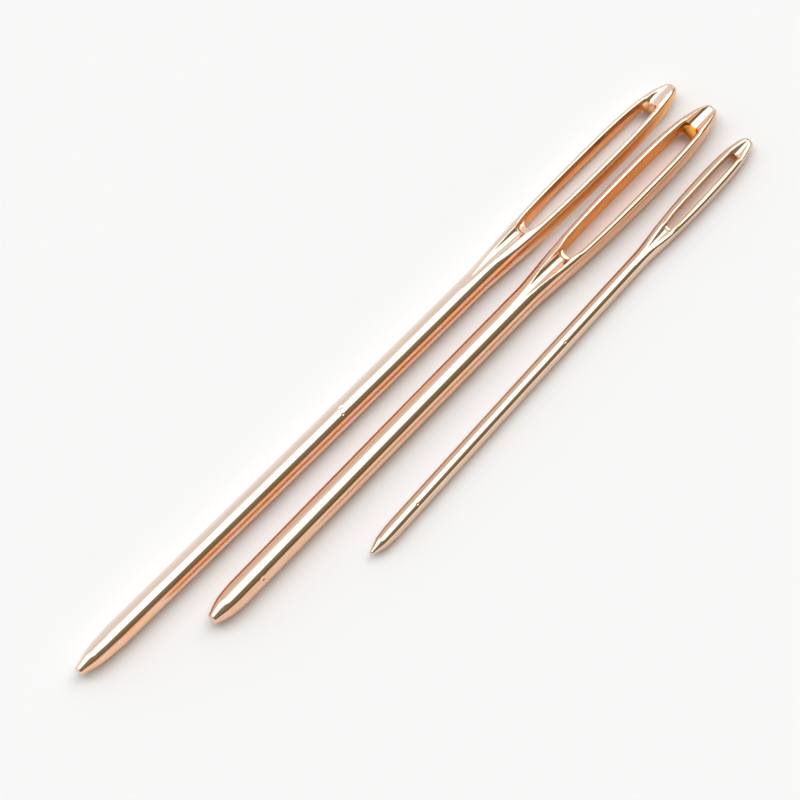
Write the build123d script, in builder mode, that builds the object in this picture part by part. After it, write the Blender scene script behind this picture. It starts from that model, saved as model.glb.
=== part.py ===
"""A set of three blunt yarn needles with long eyes, lying side by side, each one piece of plated steel wire.

Every needle is shaped along X, from the middle of its blunt tip at zero to its nose, with the eye running through it
along Z. It is then rolled about its own axis, turned on the table and laid down on its round shaft.
"""
from build123d import *
import math
import os

# Large needle, all lengths in millimetres and all angles in degrees
large_length = 70.0
large_wire_d = 2.07
large_tip_d = 0.70
large_cone_d = 1.86
large_cone_length = 2.50
large_cone_bulge = 0.11
large_taper_length = 4.20
large_eye_length = 16.0
large_eye_width = 1.70
large_arm_width = 0.61
large_head_thickness = 1.68
large_flare_length = 5.75
large_nose_length = 2.55
large_nose_width = 0.46
large_gutter_length = 5.40
large_gutter_depth = 0.42
large_gutter_radius = 0.72
large_nose_gutter_depth = 0.34
large_roll = -10.0

# Medium needle
medium_length = 60.5
medium_wire_d = 2.14
medium_tip_d = 0.86
medium_cone_d = 2.00
medium_cone_length = 2.00
medium_cone_bulge = 0.09
medium_taper_length = 2.90
medium_eye_length = 16.0
medium_eye_width = 1.72
medium_arm_width = 0.725
medium_head_thickness = 1.94
medium_flare_length = 4.60
medium_nose_length = 2.55
medium_nose_width = 0.48
medium_gutter_length = 4.30
medium_gutter_depth = 0.45
medium_gutter_radius = 0.68
medium_nose_gutter_depth = 0.38
medium_roll = 2.5

# Small needle
small_length = 47.85
small_wire_d = 1.37
small_tip_d = 0.28
small_cone_d = 1.14
small_cone_length = 1.25
small_cone_bulge = 0.04
small_taper_length = 2.50
small_eye_length = 9.0
small_eye_width = 0.82
small_arm_width = 0.64
small_head_thickness = 1.12
small_flare_length = 2.95
small_nose_length = 2.00
small_nose_width = 0.46
small_gutter_length = 2.80
small_gutter_depth = 0.22
small_gutter_radius = 0.50
small_nose_gutter_depth = 0.26
small_roll = 10.0

# Where the tips of the other two needles lie, counted from the tip of the large one, and how far each is turned
medium_tip_x = 10.12
medium_tip_y = -4.66
medium_heading = 0.87
small_tip_x = 22.66
small_tip_y = -9.86
small_heading = 2.58

# Roundings that all three needles have
tip_edge_radius = 0.08
cone_blend_radius = 4.0
overrun = 1.0

# How the head is shaped between its named sizes
wide_share = 0.55
flare_blend_radius = 50.0
eye_end_round_share = 0.8
eye_nose_round_share = 0.45
nose_flat_share = 0.8
nose_shares = (0.82, 0.57)


def nose_curve(start, end):
    """Outline from the widest or thickest place of a head to the edge of its nose, level first and blunt last."""
    run, drop = end[0] - start[0], start[1] - end[1]
    level, blunt = nose_shares
    return Bezier(start, (start[0] + level * run, start[1]), (end[0], end[1] + blunt * drop), end)


def needle(length, wire_d, tip_d, cone_d, cone_length, cone_bulge, taper_length, eye_length, eye_width,
           arm_width, head_thickness, flare_length, nose_length, nose_width, gutter_length, gutter_depth,
           gutter_radius, nose_gutter_depth):
    """One needle along X, with its tip at zero and its eye along Z."""
    wire_r = wire_d / 2
    eye_end = length - nose_length
    eye_start = eye_end - eye_length
    widest = eye_start + wide_share * eye_length
    flare_start = eye_start - flare_length
    head_half = eye_width / 2 + arm_width
    thick_half = head_thickness / 2
    nose_half = nose_width / 2
    swell = head_half - wire_r

    with BuildPart() as blank:
        # Round body: blunt tip, shaft, and a head as wide as the real one all round
        with BuildSketch(Plane.XY) as profile:
            with BuildLine():
                Polyline((length, nose_half), (length, 0), (0, 0), (0, tip_d / 2))
                half_way = (cone_length / 2, (tip_d + cone_d) / 4 + cone_bulge)
                ThreePointArc((0, tip_d / 2), half_way, (cone_length, cone_d / 2))
                Polyline((cone_length, cone_d / 2), (taper_length, wire_r), (flare_start, wire_r))
                half_way = ((flare_start + widest) / 2, wire_r + swell * 3 / 4)
                ThreePointArc((flare_start, wire_r), half_way, (widest, head_half))
                nose_curve((widest, head_half), (length, nose_half))
            make_face()
            fillet(profile.vertices().group_by(Axis.X)[0].sort_by(Axis.Y)[-1], tip_edge_radius)
            fillet(profile.vertices().filter_by_position(Axis.X, eye_start / 2, eye_start), flare_blend_radius)
            fillet(profile.vertices().filter_by_position(Axis.X, cone_length / 2, eye_start / 2), cone_blend_radius)
        revolve(axis=Axis.X)

        # Flattened head
        with BuildSketch(Plane.XZ):
            with BuildLine():
                nose_thick = nose_flat_share * nose_half
                rise = (wire_r - thick_half) / flare_length * overrun
                Polyline((length, nose_thick), (length + overrun, nose_thick), (length + overrun, 0), (-overrun, 0),
                         (-overrun, wire_d), (flare_start - overrun, wire_d), (flare_start - overrun, wire_r + rise),
                         (eye_start, thick_half), (widest, thick_half))
                nose_curve((widest, thick_half), (length, nose_thick))
            make_face()
            mirror(about=Plane.XZ)
        extrude(amount=wire_d, both=True, mode=Mode.INTERSECT)

        # Eye, bowed like the outline of the head
        to_go = (widest - eye_start) / (widest - flare_start)
        end_half = head_half - swell * to_go * to_go - arm_width
        with BuildSketch(Plane.XY.offset(-wire_d)) as eye:
            with BuildLine():
                far = ThreePointArc((eye_start, end_half), (widest, eye_width / 2), (eye_end, end_half))
                Line(far @ 1, (eye_end, -end_half))
                near = ThreePointArc((eye_end, -end_half), (widest, -eye_width / 2), (eye_start, -end_half))
                Line(near @ 1, far @ 0)
            make_face()
            fillet(eye.vertices().group_by(Axis.X)[0], eye_end_round_share * end_half)
            fillet(eye.vertices().group_by(Axis.X)[-1], eye_nose_round_share * end_half)
        extrude(amount=2 * wire_d, mode=Mode.SUBTRACT)

        # Gutters on both faces, which lead the yarn into the eye, from just inside its rounded ends
        for face in (1, -1):
            inside = eye_end_round_share * end_half
            slope = (wire_r - thick_half + gutter_depth) / gutter_length
            floor = thick_half - gutter_depth - slope * inside
            trough = gutter(eye_start + inside, face, floor, gutter_radius, 180 - math.degrees(math.atan(slope)))
            extrude(trough, amount=inside + gutter_length + overrun, mode=Mode.SUBTRACT)
            inside = eye_nose_round_share * end_half
            floor = thick_half - nose_gutter_depth
            trough = gutter(eye_end - inside, face, floor, gutter_radius, 0)
            extrude(trough, amount=inside + nose_length + overrun, mode=Mode.SUBTRACT)
    return blank.part


def gutter(station, face, floor, radius, angle):
    """Section of a round trough that starts at an end of the eye and runs out through one face."""
    tilt = math.radians(angle)
    way = (math.cos(tilt), 0, face * math.sin(tilt))
    with BuildSketch(Plane(origin=(station, 0, face * (floor + radius)), x_dir=(0, 1, 0), z_dir=way)) as trough:
        Circle(radius)
    return trough.sketch


def laid(blank, roll, tip_x=0, tip_y=0, heading=0):
    """The needle rolled about its axis, turned on the table and resting there on its lowest line."""
    rolled = Rotation(roll, 0, 0) * blank
    return Location((tip_x, tip_y, -rolled.bounding_box().min.Z), (0, 0, heading)) * rolled


large = needle(
    large_length, large_wire_d, large_tip_d, large_cone_d, large_cone_length, large_cone_bulge, large_taper_length,
    large_eye_length, large_eye_width, large_arm_width, large_head_thickness, large_flare_length, large_nose_length,
    large_nose_width, large_gutter_length, large_gutter_depth, large_gutter_radius, large_nose_gutter_depth,
)
medium = needle(
    medium_length, medium_wire_d, medium_tip_d, medium_cone_d, medium_cone_length, medium_cone_bulge, medium_taper_length,
    medium_eye_length, medium_eye_width, medium_arm_width, medium_head_thickness, medium_flare_length, medium_nose_length,
    medium_nose_width, medium_gutter_length, medium_gutter_depth, medium_gutter_radius, medium_nose_gutter_depth,
)
small = needle(
    small_length, small_wire_d, small_tip_d, small_cone_d, small_cone_length, small_cone_bulge, small_taper_length,
    small_eye_length, small_eye_width, small_arm_width, small_head_thickness, small_flare_length, small_nose_length,
    small_nose_width, small_gutter_length, small_gutter_depth, small_gutter_radius, small_nose_gutter_depth,
)
set_of_three = {
    "large_needle": laid(large, large_roll),
    "medium_needle": laid(medium, medium_roll, medium_tip_x, medium_tip_y, medium_heading),
    "small_needle": laid(small, small_roll, small_tip_x, small_tip_y, small_heading),
}

# The origin is on the table, under the middle of the set
footprint = Compound(children=list(set_of_three.values())).bounding_box()
to_origin = Location((-footprint.center().X, -footprint.center().Y, 0))

os.makedirs("parts", exist_ok=True)
for name, needle_on_table in set_of_three.items():
    with BuildPart() as piece:
        add(needle_on_table.moved(to_origin))
    piece.part.label = name
    export_step(piece.part, f"parts/{name}.step")
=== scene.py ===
"""Three plated yarn needles on a white table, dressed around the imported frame.

Each needle is one closed mesh, taken from a formula of its shape: a turned tip and shaft, a flared and
flattened head, a long eye, and the gutters that lead the yarn into it. In the tables and formulas lengths
are in millimetres and angles in degrees. x runs along a needle from its tip, y across it to its far side,
which is the upper left one in the picture, and z up through its eye.
"""
import bpy
import math
import numpy as np
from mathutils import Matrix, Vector
from types import SimpleNamespace


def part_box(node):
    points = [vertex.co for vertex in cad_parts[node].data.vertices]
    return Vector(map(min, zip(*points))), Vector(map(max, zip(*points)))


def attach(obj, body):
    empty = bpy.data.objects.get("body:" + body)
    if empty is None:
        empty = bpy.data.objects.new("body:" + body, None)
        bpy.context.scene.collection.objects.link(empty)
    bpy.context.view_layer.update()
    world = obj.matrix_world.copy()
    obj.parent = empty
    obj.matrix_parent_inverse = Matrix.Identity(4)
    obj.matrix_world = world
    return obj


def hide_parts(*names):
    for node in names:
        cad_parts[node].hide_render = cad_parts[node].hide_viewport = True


MM = 0.001

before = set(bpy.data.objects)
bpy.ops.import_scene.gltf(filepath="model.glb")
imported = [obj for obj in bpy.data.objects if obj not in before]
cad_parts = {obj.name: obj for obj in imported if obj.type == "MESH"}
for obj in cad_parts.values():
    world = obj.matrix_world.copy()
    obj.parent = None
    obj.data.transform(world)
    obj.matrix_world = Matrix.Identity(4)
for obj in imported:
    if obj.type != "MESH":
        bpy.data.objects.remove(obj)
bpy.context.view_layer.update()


def make_camera():
    """Long lens, looking down across the needles as the photograph does."""
    azimuth, elevation = math.radians(-47.926), math.radians(63.0)
    target = Vector((-0.90 * MM, 2.19 * MM, 0))
    seen_width, distance, film_width = 63.095 * MM, 470 * MM, 36.0
    back = Vector((math.sin(azimuth) * math.cos(elevation), -math.cos(azimuth) * math.cos(elevation),
                   math.sin(elevation)))
    data = bpy.data.cameras.new("camera")
    data.sensor_width = film_width
    data.lens = film_width * distance / seen_width
    data.clip_start, data.clip_end = 0.01, 20.0
    camera = bpy.data.objects.new("camera", data)
    camera.location = target + back * distance
    camera.rotation_mode = "QUATERNION"
    camera.rotation_quaternion = (-back).to_track_quat("-Z", "Y")
    bpy.context.scene.collection.objects.link(camera)
    bpy.context.scene.camera = camera


make_camera()

# The three needles. Of a pair, the first number is for the far side and the second for the near side.
#   profile: distances from the tip and radii, where the blunt tip's outline turns
#   gutter_, nose_gutter_: the troughs between shaft and eye and between eye and nose, with nose_flat half the
#       level floor of the latter; a slant gives the troughs flat flanks at that angle
#   start_lip, end_lip: how far the ends of the eye stand into it where the yarn bears on them
#   crown: how strongly the arms are arched; rims: how wide the eye's edges are rounded
#   wall_reflection: how far the painted reflection of bounced light reaches from the eye's walls; darkness:
#       how dark the band along its far arm's inner edge is
#   dents: place along the needle, angle off its top, depth and reach of each small knock
#   tip_at: from the large needle's tip to this one's, on the table
#   bow: how far the middle of the wire is bent to the far side
NEEDLES = {
    "large": SimpleNamespace(
        node="large_needle", slot="copper_rose_plate",
        length=70.0, wire_d=2.07, tip_round=0.10,
        profile=((0, 0.35), (1.44, 0.79), (2.5, 0.93), (4.2, 1.035)),
        eye_length=16.35, eye_width=1.66, eye_end_width=1.10, arm_width=0.63,
        head_thickness=1.68, flare_length=5.4, nose_length=2.55, nose_width=0.20,
        gutter_length=6.8, gutter_depth=0.34, gutter_radius=0.62, slant=None,
        nose_gutter_depth=0.42, nose_gutter_fade=2.2, nose_flat=0.12,
        start_lip=1.15, end_lip=0.80, crown=(0.15, 0.15), rims=(0.66, 0.40), wall_reflection=(0.08, 0.10), darkness=1.0,
        dents=((30.0, -5.0, 0.032, 0.22), (29.7, -33.0, 0.018, 0.14)),
        roll=-10.0, heading=0.0, tip_at=(0.0, 0.0), bow=-0.11,
    ),
    "medium": SimpleNamespace(
        node="medium_needle", slot="rose_gold_plate",
        length=60.5, wire_d=2.14, tip_round=0.12,
        profile=((0, 0.43), (0.81, 0.735), (1.45, 0.92), (2.02, 1.0), (2.9, 1.07)),
        eye_length=16.35, eye_width=1.68, eye_end_width=1.20, arm_width=0.745,
        head_thickness=1.94, flare_length=4.25, nose_length=2.55, nose_width=0.20,
        gutter_length=5.9, gutter_depth=0.48, gutter_radius=0.68, slant=None,
        nose_gutter_depth=0.50, nose_gutter_fade=1.0, nose_flat=0.14,
        start_lip=0.68, end_lip=0.86, crown=(0.12, 0.08), rims=(0.40, 0.44), wall_reflection=(0.10, 0.10), darkness=0.0,
        dents=((5.0, -53.0, 0.06, 0.24),),
        roll=2.5, heading=0.87, tip_at=(10.12, -4.66), bow=0.07,
    ),
    "small": SimpleNamespace(
        node="small_needle", slot="champagne_plate",
        length=47.85, wire_d=1.37, tip_round=0.10,
        profile=((0, 0.14), (1.25, 0.57), (2.5, 0.685)),
        eye_length=9.08, eye_width=0.78, eye_end_width=0.62, arm_width=0.66,
        head_thickness=1.12, flare_length=2.87, nose_length=2.0, nose_width=0.24,
        gutter_length=4.0, gutter_depth=0.18, gutter_radius=0.10, slant=17.5,
        nose_gutter_depth=0.22, nose_gutter_fade=1.0, nose_flat=0.02,
        start_lip=0.53, end_lip=0.20, crown=(0.31, 0.10), rims=(0.26, 0.26), wall_reflection=(0.10, 0.18), darkness=0.0,
        dents=((5.4, -13.0, 0.022, 0.16), (23.8, -13.0, 0.022, 0.16)),
        roll=10.0, heading=2.58, tip_at=(22.66, -9.86), bow=0.06,
    ),
}

# How a head runs between its named sizes, the same for all needles
WIDE_SHARE = 0.55
NOSE_OUTLINE_POWERS = (2.8, 0.50)
NOSE_FACE_POWERS = (3.2, 0.46)
NOSE_FLAT_SHARE = 0.8
CROSS_SECTION_POWER = 2.45
PAST_END = 1.3

# How wide the edges are rounded where two surfaces meet
CONE_BLEND = 0.03
GUTTER_RIM = 0.06
FACE_BLEND = 0.06
NOSE_ROUND = 0.12
EYE_ROUND = 0.05

# Where each mask of the plating, its painted reflections and its painted shade starts, and over what band it
# rises or fades to its end
# The flanks facing the near and the far side, which are painted with reflections of the neighbouring needles
# and the shaded floor
NEAR_FACING = (0.60, 0.22)
FAR_FACING = (0.12, 0.35)
HEAD_FROM_EYE = (-1.5, 3.0)
# The eye's walls, painted with a reflection of the light bounced between them
WALL_REFLECTION_EDGE = (0, 0.07)
PAST_START_LIP = (0, 0.3)
# Painted shade at the eye's nose end
SHADE_FROM_END_LIP = (-0.08, 0.16)
# The darker band along the far arm's inner edge
DARK_BAND_HEIGHT = (0.20, 0.25)
DARK_BAND_FACING = (0.45, 0.20)
DARK_BAND_PAST_EYE_START = (1.5, 4.0)
DARK_BAND_BEFORE_EYE_END = (0.3, 1.0)
DARK_BAND_FROM_WALL = (0.25, 0.15)


# Shape formulas
def smooth_max(a, b, band):
    """The larger of two fields, with the edge between them rounded over that band."""
    overlap = np.maximum(band - np.abs(a - b), 0)
    return np.maximum(a, b) + overlap * overlap / (4 * band)


def smooth_min(a, b, band):
    """The smaller of two fields, rounded in the same way."""
    return -smooth_max(-a, -b, band)


def rise(values, start, band):
    """A smooth step from zero, where the values are at the start, to one, where they are a band past it."""
    share = np.clip((values - start) / band, 0, 1)
    return share * share * (3 - 2 * share)


def stations(needle):
    """Where along the needle the flare starts, the eye starts, the head is widest and the eye ends."""
    eye_end = needle.length - needle.nose_length
    eye_start = eye_end - needle.eye_length
    return eye_start - needle.flare_length, eye_start, eye_start + WIDE_SHARE * needle.eye_length, eye_end


def nose_drop(needle, x, level, blunt):
    """From zero at the widest place of the head to one at the end of the nose, level first and blunt last."""
    short_of_end = 0.99999
    _, _, widest, _ = stations(needle)
    run = np.clip((x - widest) / (needle.length - widest), 0, short_of_end)
    return 1 - (1 - run ** level) ** blunt


def outline(needle, x):
    """Half width of the needle at x, as if it were round all over."""
    slow_start = 0.06
    flare_start, _, widest, _ = stations(needle)
    wire_r = needle.wire_d / 2
    head_half = needle.eye_width / 2 + needle.arm_width
    half = np.full_like(x, wire_r)
    for (x0, r0), (x1, r1) in zip(needle.profile, needle.profile[1:]):
        half = smooth_min(half, r0 + (x - x0) * (r1 - r0) / (x1 - x0), CONE_BLEND)
    run = np.clip((x - flare_start) / (widest - flare_start), 0, 1)
    run = run * run * (1 + slow_start) / (run + slow_start)
    half = half + (head_half - wire_r) * run * (2 - run)
    return half + (needle.nose_width / 2 - head_half) * nose_drop(needle, x, *NOSE_OUTLINE_POWERS)


def face(needle, x):
    """Height of the flattened face above the needle's axis at x."""
    above_wire = 0.02
    flare_start = stations(needle)[0]
    wire_r, thick_half = needle.wire_d / 2, needle.head_thickness / 2
    slope = (wire_r - thick_half) / needle.flare_length
    sloped = wire_r + above_wire - (x - flare_start) * slope
    half = smooth_max(sloped, np.full_like(x, thick_half), FACE_BLEND)
    nose_thick = NOSE_FLAT_SHARE * needle.nose_width / 2
    return half + (nose_thick - thick_half) * nose_drop(needle, x, *NOSE_FACE_POWERS)


def slope_of(law, needle, x):
    """Slope of the outline or the face at x."""
    step = 0.002
    return (law(needle, x + step) - law(needle, x - step)) / (2 * step)


def crown_at(needle, y):
    """How strongly the face is arched on this side of the axis."""
    return np.where(y > 0, *needle.crown)


def arch(needle, x, y):
    """How far the crowned face rises above its named height, level with it along the far arm's middle."""
    scale = outline(needle, x) / (needle.eye_width / 2 + needle.arm_width)
    arm_middle = (needle.eye_width + needle.arm_width) / 2 * np.clip(scale, 0, 1)
    return needle.crown[0] * arm_middle ** 2 - crown_at(needle, y) * y ** 2


def gutter_floor(needle, x):
    """Lowest lines of the troughs above the needle's axis, on the shaft's side of the eye and the nose's."""
    deepening, kept_share, edge_blend = 1.4, 0.12, 0.05
    _, eye_start, _, eye_end = stations(needle)
    top = smooth_min(outline(needle, x), face(needle, x) + arch(needle, x, 0), edge_blend)
    run = np.clip((x - eye_start + needle.gutter_length) / needle.gutter_length, 0, PAST_END)
    nose_run = np.clip((x - eye_end) / needle.nose_length, 0, 1)
    nose_share = kept_share + (1 - kept_share) * (1 - nose_run) ** needle.nose_gutter_fade
    return top - needle.gutter_depth * run ** deepening, top - needle.nose_gutter_depth * nose_share


def eye_field(needle, x, y, z):
    """The eye: bowed sides, and ends that are rounded over where the yarn bears on them."""
    side_bow, lip_power, above_web = 3, 1.8, 0.02
    step_level, step_band = 0.72, 0.16
    start_round_share, end_round_share = 0.98, 0.88
    _, eye_start, widest, eye_end = stations(needle)
    wide_half, end_half = needle.eye_width / 2, needle.eye_end_width / 2
    to_end = np.abs(x - widest) / np.where(x < widest, widest - eye_start, eye_end - widest)
    side = np.abs(y) - (wide_half - (wide_half - end_half) * np.clip(to_end, 0, PAST_END) ** side_bow)
    start_web = gutter_floor(needle, np.array([eye_start]))[0][0] + above_web
    end_web = gutter_floor(needle, np.array([eye_end]))[1][0] + above_web
    level = np.clip(np.abs(z) / np.where(x < widest, start_web, end_web), 0, 1)
    curve = np.sqrt(1.0001 - level ** lip_power)
    start = eye_start + needle.start_lip * (curve + rise(-level, -step_level, step_band)) / 2
    end = np.where(x < widest, start - x, x - eye_end + needle.end_lip * curve)
    corner = np.where(x < widest, start_round_share, end_round_share) * end_half
    outside = np.hypot(np.maximum(side + corner, 0), np.maximum(end + corner, 0))
    return np.minimum(np.maximum(side, end), -corner) + outside


def trough_section(needle, off, height, radius):
    """Section of a trough: round, or with flat flanks where the needle names their slant."""
    if needle.slant is None:
        return np.hypot(off, np.minimum(height - radius, 0)) - radius
    floor_round = 0.02
    lean = math.radians(needle.slant)
    return np.sqrt((off * math.sin(lean)) ** 2 + floor_round ** 2) - floor_round - height * math.cos(lean)


def gutter_field(needle, x, y, z):
    """Troughs in both faces that run from the shaft into the eye, and from the eye out over the nose."""
    fade = 0.30
    start_clear, start_reach = 0.15, 1.3
    end_clear, end_reach = 0.1, 1.2
    nose_radius_share, nose_narrowing = 0.78, 0.3
    _, eye_start, _, eye_end = stations(needle)
    floor, nose_floor = gutter_floor(needle, x)
    floor = floor + fade * np.maximum(x - eye_start - start_clear, 0)
    nose_floor = nose_floor + fade * np.maximum(eye_end - end_clear - x, 0)
    trough = trough_section(needle, y, np.abs(z) - floor, needle.gutter_radius)
    trough = np.maximum(trough, x - eye_start - start_reach)
    trough = np.maximum(trough, eye_start - needle.gutter_length - x)
    run = np.clip((x - eye_end) / needle.nose_length, 0, 1)
    off = np.maximum(np.abs(y) - needle.nose_flat * (1 - nose_narrowing * run), 0)
    nose = trough_section(needle, off, np.abs(z) - nose_floor, nose_radius_share * needle.gutter_radius)
    nose = np.maximum(nose, eye_end - end_reach - x)
    return np.minimum(trough, nose)


def dent_depth(needle, x, y, z):
    """Depth of the small knocks in the plating, each with a slightly raised edge."""
    raised = 0.9
    wire_r, total = needle.wire_d / 2, 0.0
    for along, turn, depth, reach in needle.dents:
        lean = math.radians(turn)
        off = (y - math.sin(lean) * wire_r) ** 2 + (z - math.cos(lean) * wire_r) ** 2
        spread = ((x - along) ** 2 + 2 * off) / reach ** 2
        total = total + depth * (1 - raised * spread) * np.exp(-spread)
    return total


def needle_field(needle, x, y, z):
    """Below zero inside the needle and above zero outside it, about the distance to its surface."""
    flare_start, eye_start, _, _ = stations(needle)
    in_flare = rise(x, flare_start, needle.flare_length)
    power = 2 + (CROSS_SECTION_POWER - 2) * in_flare
    across = (np.abs(y) ** power + np.abs(z) ** power + 1e-9) ** (1 / power)
    body = (across - outline(needle, x)) / np.sqrt(1 + slope_of(outline, needle, x) ** 2)
    body = body + dent_depth(needle, x, y, z)
    flat = np.abs(z) - face(needle, x) - arch(needle, x, y)
    arch_slope = 2 * crown_at(needle, y) * y
    flat = flat / np.sqrt(1 + slope_of(face, needle, x) ** 2 + arch_slope ** 2)

    shaft_ridge, head_ridge = 0.02, 0.15
    field = smooth_max(body, flat, shaft_ridge + (head_ridge - shaft_ridge) * in_flare)
    field = smooth_max(field, -x, needle.tip_round)
    field = smooth_max(field, x - needle.length, NOSE_ROUND)
    rim_start, rim_run = 0.2, 1.6
    rim = np.where(y > 0, *needle.rims)
    rim = EYE_ROUND + (rim - EYE_ROUND) * rise(x - eye_start, rim_start, rim_run)
    field = smooth_max(field, -eye_field(needle, x, y, z), rim)
    return smooth_max(field, -gutter_field(needle, x, y, z), GUTTER_RIM)


# Meshing
def gradient(needle, points):
    """Which way the field rises at the points, and how steeply."""
    step = 0.0015
    parts = []
    for axis in range(3):
        shift = np.zeros(3)
        shift[axis] = step
        ahead, behind = points + shift, points - shift
        parts.append((needle_field(needle, *ahead.T) - needle_field(needle, *behind.T)) / (2 * step))
    return np.stack(parts, 1)


def grid_lines(needle, cell):
    """Lines of the grid along x, y and z, wide apart on the shaft and close at its knocks, tip and head."""
    margin, before_tip, past_tip, before_head, round_dent = 2.5 * cell, 0.1, 1.0, 1.5, 0.6
    fine, coarse = cell, 5 * cell
    head_start = stations(needle)[0] - before_head
    tip_end = needle.profile[-1][0] + past_tip
    xs = np.concatenate([
        np.arange(-before_tip, tip_end, fine),
        np.arange(tip_end, head_start, coarse),
        np.arange(head_start, needle.length + 2 * fine, fine),
        *(np.arange(along - round_dent, along + round_dent, fine / 2) for along, *_ in needle.dents),
    ])
    xs = np.unique(np.round(xs / (fine / 2)) * (fine / 2))
    wide = needle.eye_width / 2 + needle.arm_width + margin
    tall = needle.wire_d / 2 + margin
    ys = np.linspace(-wide, wide, 2 * int(wide / cell) + 2)
    zs = np.linspace(-tall, tall, 2 * int(tall / cell) + 2)
    return xs, ys, zs


def corner(array, offset):
    """The values at one corner of every grid cell."""
    return array[tuple(slice(start, size - 1 + start) for start, size in zip(offset, array.shape))]


CORNERS = [(i, j, k) for i in (0, 1) for j in (0, 1) for k in (0, 1)]


def mean_crossing(cells, values, lines):
    """For each cell, the middle of the places where the surface crosses its edges."""
    total, hits = np.zeros((len(cells), 3)), np.zeros(len(cells))
    for first in CORNERS:
        for axis in range(3):
            if first[axis]:
                continue
            second = tuple(place + (1 if other == axis else 0) for other, place in enumerate(first))
            at_a, at_b = cells + first, cells + second
            a, b = values[tuple(at_a.T)], values[tuple(at_b.T)]
            cross = (a < 0) != (b < 0)
            share = np.where(cross, a / np.where(cross, a - b, 1), 0)
            point_a = np.stack([line[at_a[:, way]] for way, line in enumerate(lines)], 1)
            point_b = np.stack([line[at_b[:, way]] for way, line in enumerate(lines)], 1)
            total += np.where(cross[:, None], point_a + share[:, None] * (point_b - point_a), 0)
            hits += cross
    return total / hits[:, None]


def join_cells(inside, ids):
    """A quad through the four cells round every grid edge that crosses the surface, facing outward."""
    quads = []
    for axis in range(3):
        low = np.ones(3, dtype=int)
        low[axis] = 0
        high = np.array(inside.shape) - 1
        step = np.eye(3, dtype=int)[axis]
        here = inside[tuple(slice(a, b) for a, b in zip(low, high))]
        there = inside[tuple(slice(a, b) for a, b in zip(low + step, high + step))]
        at = np.argwhere(here != there) + low
        outward = here[here != there]
        u, v = [other for other in range(3) if other != axis]
        if axis == 1:
            u, v = v, u
        step_u, step_v = np.eye(3, dtype=int)[u], np.eye(3, dtype=int)[v]
        ring = [at - step_u - step_v, at - step_v, at, at - step_u]
        quad = np.stack([ids[tuple(cell.T)] for cell in ring], 1)
        quads.append(np.where(outward[:, None], quad, quad[:, ::-1]))
    return np.concatenate(quads)


def surface(needle):
    """Closed quad mesh of the needle's surface, with a vertex in each grid cell that the surface crosses."""
    cell, settling_steps, least_slope = 0.07, 6, 0.05
    lines = grid_lines(needle, cell)
    values = needle_field(needle, *np.meshgrid(*lines, indexing="ij"))
    inside = values < 0
    count = sum(corner(inside, offset).astype(np.int8) for offset in CORNERS)
    active = (count > 0) & (count < len(CORNERS))
    cells = np.argwhere(active)
    ids = np.full(active.shape, -1, np.int64)
    ids[active] = np.arange(len(cells))
    points = mean_crossing(cells, values, lines)
    for _ in range(settling_steps):
        slope = gradient(needle, points)
        steepness = np.maximum((slope ** 2).sum(1), least_slope)
        move = slope * (needle_field(needle, *points.T) / steepness)[:, None]
        points = points - np.clip(move, -cell / 2, cell / 2)
    return points, join_cells(inside, ids)


def masks(needle, points, normals):
    """What the material needs to know at each vertex, from zero to one."""
    on_lip_share = 0.25
    _, eye_start, _, eye_end = stations(needle)
    x, y, z = points.T
    facing_far = normals[:, 1]
    from_wall = np.abs(eye_field(needle, x, y, z))

    # Painted reflection of the light bounced between the punched eye's walls, fading in behind the lip on the
    # shaft's side
    wall = rise(np.where(y > 0, *needle.wall_reflection) - from_wall, *WALL_REFLECTION_EDGE)
    past_lip = rise(x - eye_start - needle.start_lip, *PAST_START_LIP)
    wall = wall * (on_lip_share + (1 - on_lip_share) * past_lip)

    # A darker band on the far arm's inner edge beside the eye, over most of its length
    on_edge = (y > 0) * rise(np.abs(z), *DARK_BAND_HEIGHT) * rise(-facing_far, *DARK_BAND_FACING)
    along_eye = rise(x - eye_start, *DARK_BAND_PAST_EYE_START) * rise(eye_end - x, *DARK_BAND_BEFORE_EYE_END)
    darkness = needle.darkness * on_edge * along_eye * (1 - rise(from_wall, *DARK_BAND_FROM_WALL))

    # Painted shade over the lip at the eye's nose end
    darkening = wall * rise(x - eye_end + needle.end_lip, *SHADE_FROM_END_LIP)
    return {
        "wall": wall,
        # The darker band and the painted shade at the nose end, in one mask
        "darkening": np.maximum(darkness, darkening),
        # Where the flanks are painted with reflections of the neighbouring needles and the shaded floor
        "near_reflection": rise(-facing_far, *NEAR_FACING),
        "far_reflection": rise(facing_far, *FAR_FACING),
        "head": rise(x - eye_start, *HEAD_FROM_EYE),
    }


def turned(needle, vectors):
    """Vectors along the needle's own axes, rolled about it and turned with it on the table."""
    x, y, z = vectors.T
    roll, heading = math.radians(needle.roll), math.radians(needle.heading)
    y, z = y * math.cos(roll) - z * math.sin(roll), y * math.sin(roll) + z * math.cos(roll)
    x, y = x * math.cos(heading) - y * math.sin(heading), x * math.sin(heading) + y * math.cos(heading)
    return np.stack([x, y, z], 1)


def tip_place(needle):
    """Where the middle of the needle's tip lies in the frame, as high as the middle of its CAD node."""
    low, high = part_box(NEEDLES["large"].node)
    along, across = needle.tip_at
    axis_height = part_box(needle.node)[1].z / 2
    return np.array([low.x / MM + along, (low.y + high.y) / 2 / MM + across, axis_height / MM])


def placed(needle, points):
    """Points of the needle, with the wire's slight bow, where they lie in the frame."""
    x, y, z = points.T
    bowed = np.stack([x, y + needle.bow * np.sin(np.pi * np.clip(x / needle.length, 0, 1)), z], 1)
    return turned(needle, bowed) + tip_place(needle)


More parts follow.
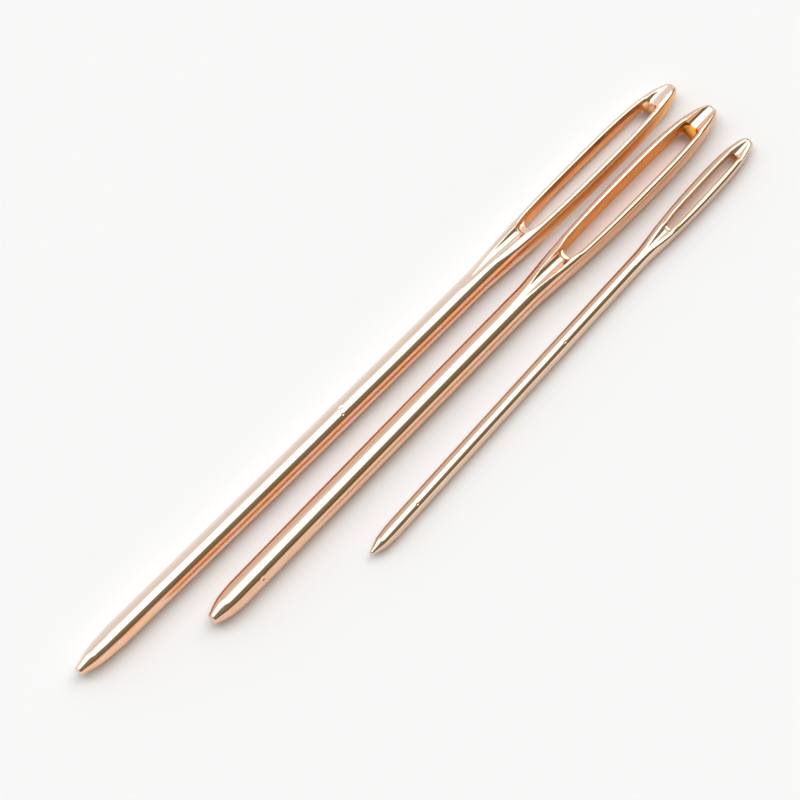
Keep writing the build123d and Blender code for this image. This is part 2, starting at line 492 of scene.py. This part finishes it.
def make_needle(name, needle, material):
    """The dressed needle, in place of its plain CAD node."""
    points, quads = surface(needle)
    normals = gradient(needle, points)
    normals /= np.linalg.norm(normals, axis=1)[:, None]
    corners_per_face = 4
    mesh = bpy.data.meshes.new(name)
    mesh.vertices.add(len(points))
    mesh.vertices.foreach_set("co", (placed(needle, points) * MM).astype(np.float32).ravel())
    mesh.loops.add(quads.size)
    mesh.loops.foreach_set("vertex_index", quads.astype(np.int32).ravel())
    mesh.polygons.add(len(quads))
    mesh.polygons.foreach_set("loop_start", np.arange(0, quads.size, corners_per_face, dtype=np.int32))
    mesh.update(calc_edges=True)
    mesh.validate()
    mesh.polygons.foreach_set("use_smooth", np.ones(len(mesh.polygons), bool))
    mesh.normals_split_custom_set_from_vertices(turned(needle, normals).tolist())
    for mask, values in masks(needle, points, normals).items():
        mesh.attributes.new(mask, "FLOAT", "POINT").data.foreach_set("value", values.astype(np.float32))
    mesh.materials.append(material)
    piece = bpy.data.objects.new(name, mesh)
    bpy.context.scene.collection.objects.link(piece)
    return piece


# Materials
class Nodes:
    """The node tree of a material or a world, emptied, with short ways to fill it."""

    def __init__(self, owner):
        owner.use_nodes = True
        self.tree = owner.node_tree
        self.tree.nodes.clear()

    def add(self, kind):
        return self.tree.nodes.new(kind)

    def feed(self, socket, value):
        """Link another node's output to the socket, or set a colour or a number on it."""
        if isinstance(value, bpy.types.NodeSocket):
            self.tree.links.new(value, socket)
        elif isinstance(value, tuple):
            socket.default_value = (*value, 1)
        else:
            socket.default_value = value

    def maths(self, kind, *values):
        node = self.add("ShaderNodeMath")
        node.operation = kind
        for socket, value in zip(node.inputs, values):
            self.feed(socket, value)
        return node.outputs[0]

    def blend(self, factor, a, b):
        """Colour a where the factor is zero, and colour b where it is one."""
        node = self.add("ShaderNodeMix")
        node.data_type = "RGBA"
        for socket, value in (("Factor", factor), ("A", a), ("B", b)):
            self.feed(node.inputs[socket], value)
        return node.outputs["Result"]

    def span(self, value, low, high, to_low, to_high):
        """The value stretched from one range to another and kept inside it."""
        node = self.add("ShaderNodeMapRange")
        for socket, number in zip(("From Min", "From Max", "To Min", "To Max"), (low, high, to_low, to_high)):
            node.inputs[socket].default_value = number
        self.feed(node.inputs["Value"], value)
        return node.outputs[0]

    def noise(self, where, stretch):
        """Noise with that many waves to the metre along each axis."""
        shape = self.add("ShaderNodeMapping")
        shape.inputs["Scale"].default_value = stretch
        self.feed(shape.inputs["Vector"], where)
        node = self.add("ShaderNodeTexNoise")
        node.inputs["Scale"].default_value = 1.0
        node.inputs["Detail"].default_value = 3.0
        self.feed(node.inputs["Vector"], shape.outputs[0])
        return node.outputs["Fac"]

    def mask(self, name):
        node = self.add("ShaderNodeAttribute")
        node.attribute_name = name
        return node.outputs["Fac"]


def tinted(colour, shares):
    return tuple(value * share for value, share in zip(colour, shares))


def plated_metal(name, heading, top, near_reflection, near_head_reflection, far_reflection, wall_reflection):
    """Polished plated wire: fine lines along the needle, faint mottling, and a painted reflection of bounced
    light on the punched eye's walls.

    Its top has a plating colour. Its near flank on the shaft and on the head, and its far flank, each have a
    colour that paints in the reflections of the neighbouring needles and the shaded floor.
    """
    material = bpy.data.materials.new(name)
    nodes = Nodes(material)
    out = nodes.add("ShaderNodeOutputMaterial")
    shader = nodes.add("ShaderNodeBsdfPrincipled")
    nodes.feed(out.inputs[0], shader.outputs[0])
    shader.inputs["Metallic"].default_value = 1.0

    turn = nodes.add("ShaderNodeMapping")
    turn.inputs["Rotation"].default_value = (0, 0, -math.radians(heading))
    nodes.feed(turn.inputs["Vector"], nodes.add("ShaderNodeTexCoord").outputs["Object"])
    lines = nodes.noise(turn.outputs[0], (40, 4000, 4000))
    streaks = nodes.noise(turn.outputs[0], (260, 2600, 2600))
    mottle = nodes.noise(turn.outputs[0], (500, 1400, 1400))
    wall, darkening, head = nodes.mask("wall"), nodes.mask("darkening"), nodes.mask("head")
    near_reflection_share, far_reflection_share = nodes.mask("near_reflection"), nodes.mask("far_reflection")

    # Plating, with warmer streaks on top. The flanks are painted with reflections of the neighbouring needles
    # and the shaded floor, with mottled wear over the near one
    streaked = nodes.span(streaks, 0.35, 0.70, 0.0, 1.0)
    worn = nodes.span(mottle, 0.35, 0.70, 0.0, 1.0)
    polished = nodes.blend(streaked, top, tinted(top, (0.94, 0.88, 0.82)))
    near_flank_reflection = nodes.blend(head, near_reflection, near_head_reflection)
    near_flank_reflection = nodes.blend(nodes.maths("MULTIPLY", worn, 0.8), near_flank_reflection, tinted(near_head_reflection, (0.94, 0.84, 0.72)))
    colour = nodes.blend(far_reflection_share, nodes.blend(near_reflection_share, polished, near_flank_reflection), far_reflection)

    # Painted reflection of bounced light on the eye's walls, the darker band on its far edge, and painted
    # shade at its nose end
    wall_reflection_colour = nodes.blend(worn, wall_reflection, tinted(wall_reflection, (0.86, 0.78, 0.60)))
    darkened_colour = nodes.blend(worn, tinted(wall_reflection, (0.34, 0.28, 0.36)), tinted(wall_reflection, (0.52, 0.40, 0.42)))
    colour = nodes.blend(wall, colour, wall_reflection_colour)
    # Painted shade at the eye's nose end and the darker band on the far edge, mottled
    darkness = nodes.maths("MULTIPLY", darkening, nodes.span(mottle, 0.30, 0.60, 1.0, 0.60))
    nodes.feed(shader.inputs["Base Color"], nodes.blend(darkness, colour, darkened_colour))

    # The punched walls and the near flank are duller than the polished top
    wall_dullness = nodes.maths("MULTIPLY", wall, 0.36)
    flank_dullness = nodes.maths("MULTIPLY", near_reflection_share, nodes.maths("MULTIPLY_ADD", head, 0.20, 0.10))
    dullness = nodes.maths("MAXIMUM", wall_dullness, flank_dullness)
    rough = nodes.maths("ADD", nodes.span(lines, 0.3, 0.7, 0.07, 0.14), dullness)
    nodes.feed(shader.inputs["Roughness"], rough)

    bump = nodes.add("ShaderNodeBump")
    bump.inputs["Strength"].default_value = 0.3
    bump.inputs["Distance"].default_value = 0.01 * MM
    pits = nodes.maths("MULTIPLY", nodes.maths("MULTIPLY", mottle, wall), 4.0)
    nodes.feed(bump.inputs["Height"], nodes.maths("ADD", lines, pits))
    nodes.feed(shader.inputs["Normal"], bump.outputs[0])
    return material


# Light and floor
def make_world():
    """A long softbox over the needles, a dark gap on its near side, and pale studio walls."""
    world = bpy.data.worlds.new("studio")
    bpy.context.scene.world = world
    nodes = Nodes(world)
    out = nodes.add("ShaderNodeOutputWorld")
    background = nodes.add("ShaderNodeBackground")
    nodes.feed(out.inputs[0], background.outputs[0])
    way = nodes.add("ShaderNodeSeparateXYZ")
    nodes.feed(way.inputs[0], nodes.add("ShaderNodeTexCoord").outputs["Generated"])

    def ramp(angle, stops):
        """Colours at angles off the vertical, in degrees, blended from one stop to the next."""
        node = nodes.add("ShaderNodeValToRGB")
        half_turns = nodes.maths("ADD", nodes.maths("MULTIPLY", angle, 1 / math.pi), 0.5)
        nodes.feed(node.inputs["Fac"], half_turns)
        elements = node.color_ramp.elements
        while len(elements) < len(stops):
            elements.new(0.5)
        for element, (degrees, colour) in zip(elements, stops):
            element.position = degrees / 180 + 0.5
            element.color = (*colour, 1)
        return node.outputs["Color"]

    # Angles off the vertical, across the needles to the near side, and along them to the noses
    to_near = nodes.maths("MULTIPLY", way.outputs["Y"], -1)
    across = nodes.maths("ARCTAN2", to_near, way.outputs["Z"])
    along = nodes.maths("ARCTAN2", way.outputs["X"], way.outputs["Z"])

    pale, grey, warm = (0.84, 0.88, 0.92), (0.26, 0.27, 0.24), (0.94, 0.91, 0.87)
    gap_start, gap_middle, gap_end = (0.25, 0.26, 0.21), (0.21, 0.20, 0.13), (0.15, 0.08, 0.025)
    walls = ramp(across, [(-90, pale), (-33, pale), (-29, grey), (20, grey), (24, gap_start),
                          (46, gap_middle), (68, gap_end), (73, warm), (90, warm)])

    # The softbox, which is skewed towards the tips' end
    skew_start, most_skew = 6, 22
    skew = nodes.maths("MAXIMUM", nodes.maths("SUBTRACT", math.radians(skew_start), along), 0)
    skewed = nodes.maths("ADD", across, nodes.maths("MINIMUM", skew, math.radians(most_skew)))
    black, white, bright = (0, 0, 0), (1, 1, 1), (1.88, 1.87, 1.95)
    box = ramp(skewed, [(-90, black), (-32, black), (-28, bright), (20, bright), (24, black), (90, black)])
    reach = ramp(along, [(-90, black), (-36, black), (-28, white), (56, white), (64, black), (90, black)])
    light = nodes.add("ShaderNodeVectorMath")
    light.operation = "MULTIPLY_ADD"
    for socket, value in zip(light.inputs, (box, reach, walls)):
        nodes.feed(socket, value)

    seen = nodes.add("ShaderNodeLightPath").outputs["Is Camera Ray"]
    nodes.feed(background.inputs["Color"], nodes.blend(seen, light.outputs[0], white))


def make_floor():
    """The white table."""
    bpy.ops.mesh.primitive_plane_add(size=4.0)
    floor = bpy.context.object
    floor.name = "floor"
    material = bpy.data.materials.new("white_table")
    nodes = Nodes(material)
    out = nodes.add("ShaderNodeOutputMaterial")
    shader = nodes.add("ShaderNodeBsdfDiffuse")
    shader.inputs["Color"].default_value = (0.93, 0.922, 0.914, 1)
    nodes.feed(out.inputs[0], shader.outputs[0])
    floor.data.materials.append(material)


make_world()
make_floor()

# The top is each needle's plating. The flank colours are painted reflections of the neighbouring needles and
# the shaded floor, and wall_reflection paints the light bounced between the eye's walls
PLATING = {
    "large": dict(top=(0.90, 0.69, 0.56), near_reflection=(0.95, 0.60, 0.45), near_head_reflection=(1.0, 0.58, 0.24),
                  far_reflection=(0.89, 0.74, 0.63), wall_reflection=(1.0, 0.54, 0.23)),
    "medium": dict(top=(0.89, 0.67, 0.53), near_reflection=(0.88, 0.56, 0.40), near_head_reflection=(0.90, 0.57, 0.37),
                   far_reflection=(0.78, 0.47, 0.33), wall_reflection=(1.0, 0.46, 0.07)),
    "small": dict(top=(0.89, 0.70, 0.57), near_reflection=(0.79, 0.56, 0.42), near_head_reflection=(0.76, 0.54, 0.41),
                  far_reflection=(0.72, 0.47, 0.33), wall_reflection=(0.90, 0.50, 0.24)),
}
for body, needle in NEEDLES.items():
    metal = plated_metal(needle.slot, needle.heading, **PLATING[body])
    piece = make_needle(body + "_needle_wire", needle, metal)
    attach(piece, body)
    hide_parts(needle.node)

bpy.context.scene.view_settings.view_transform = "Standard"
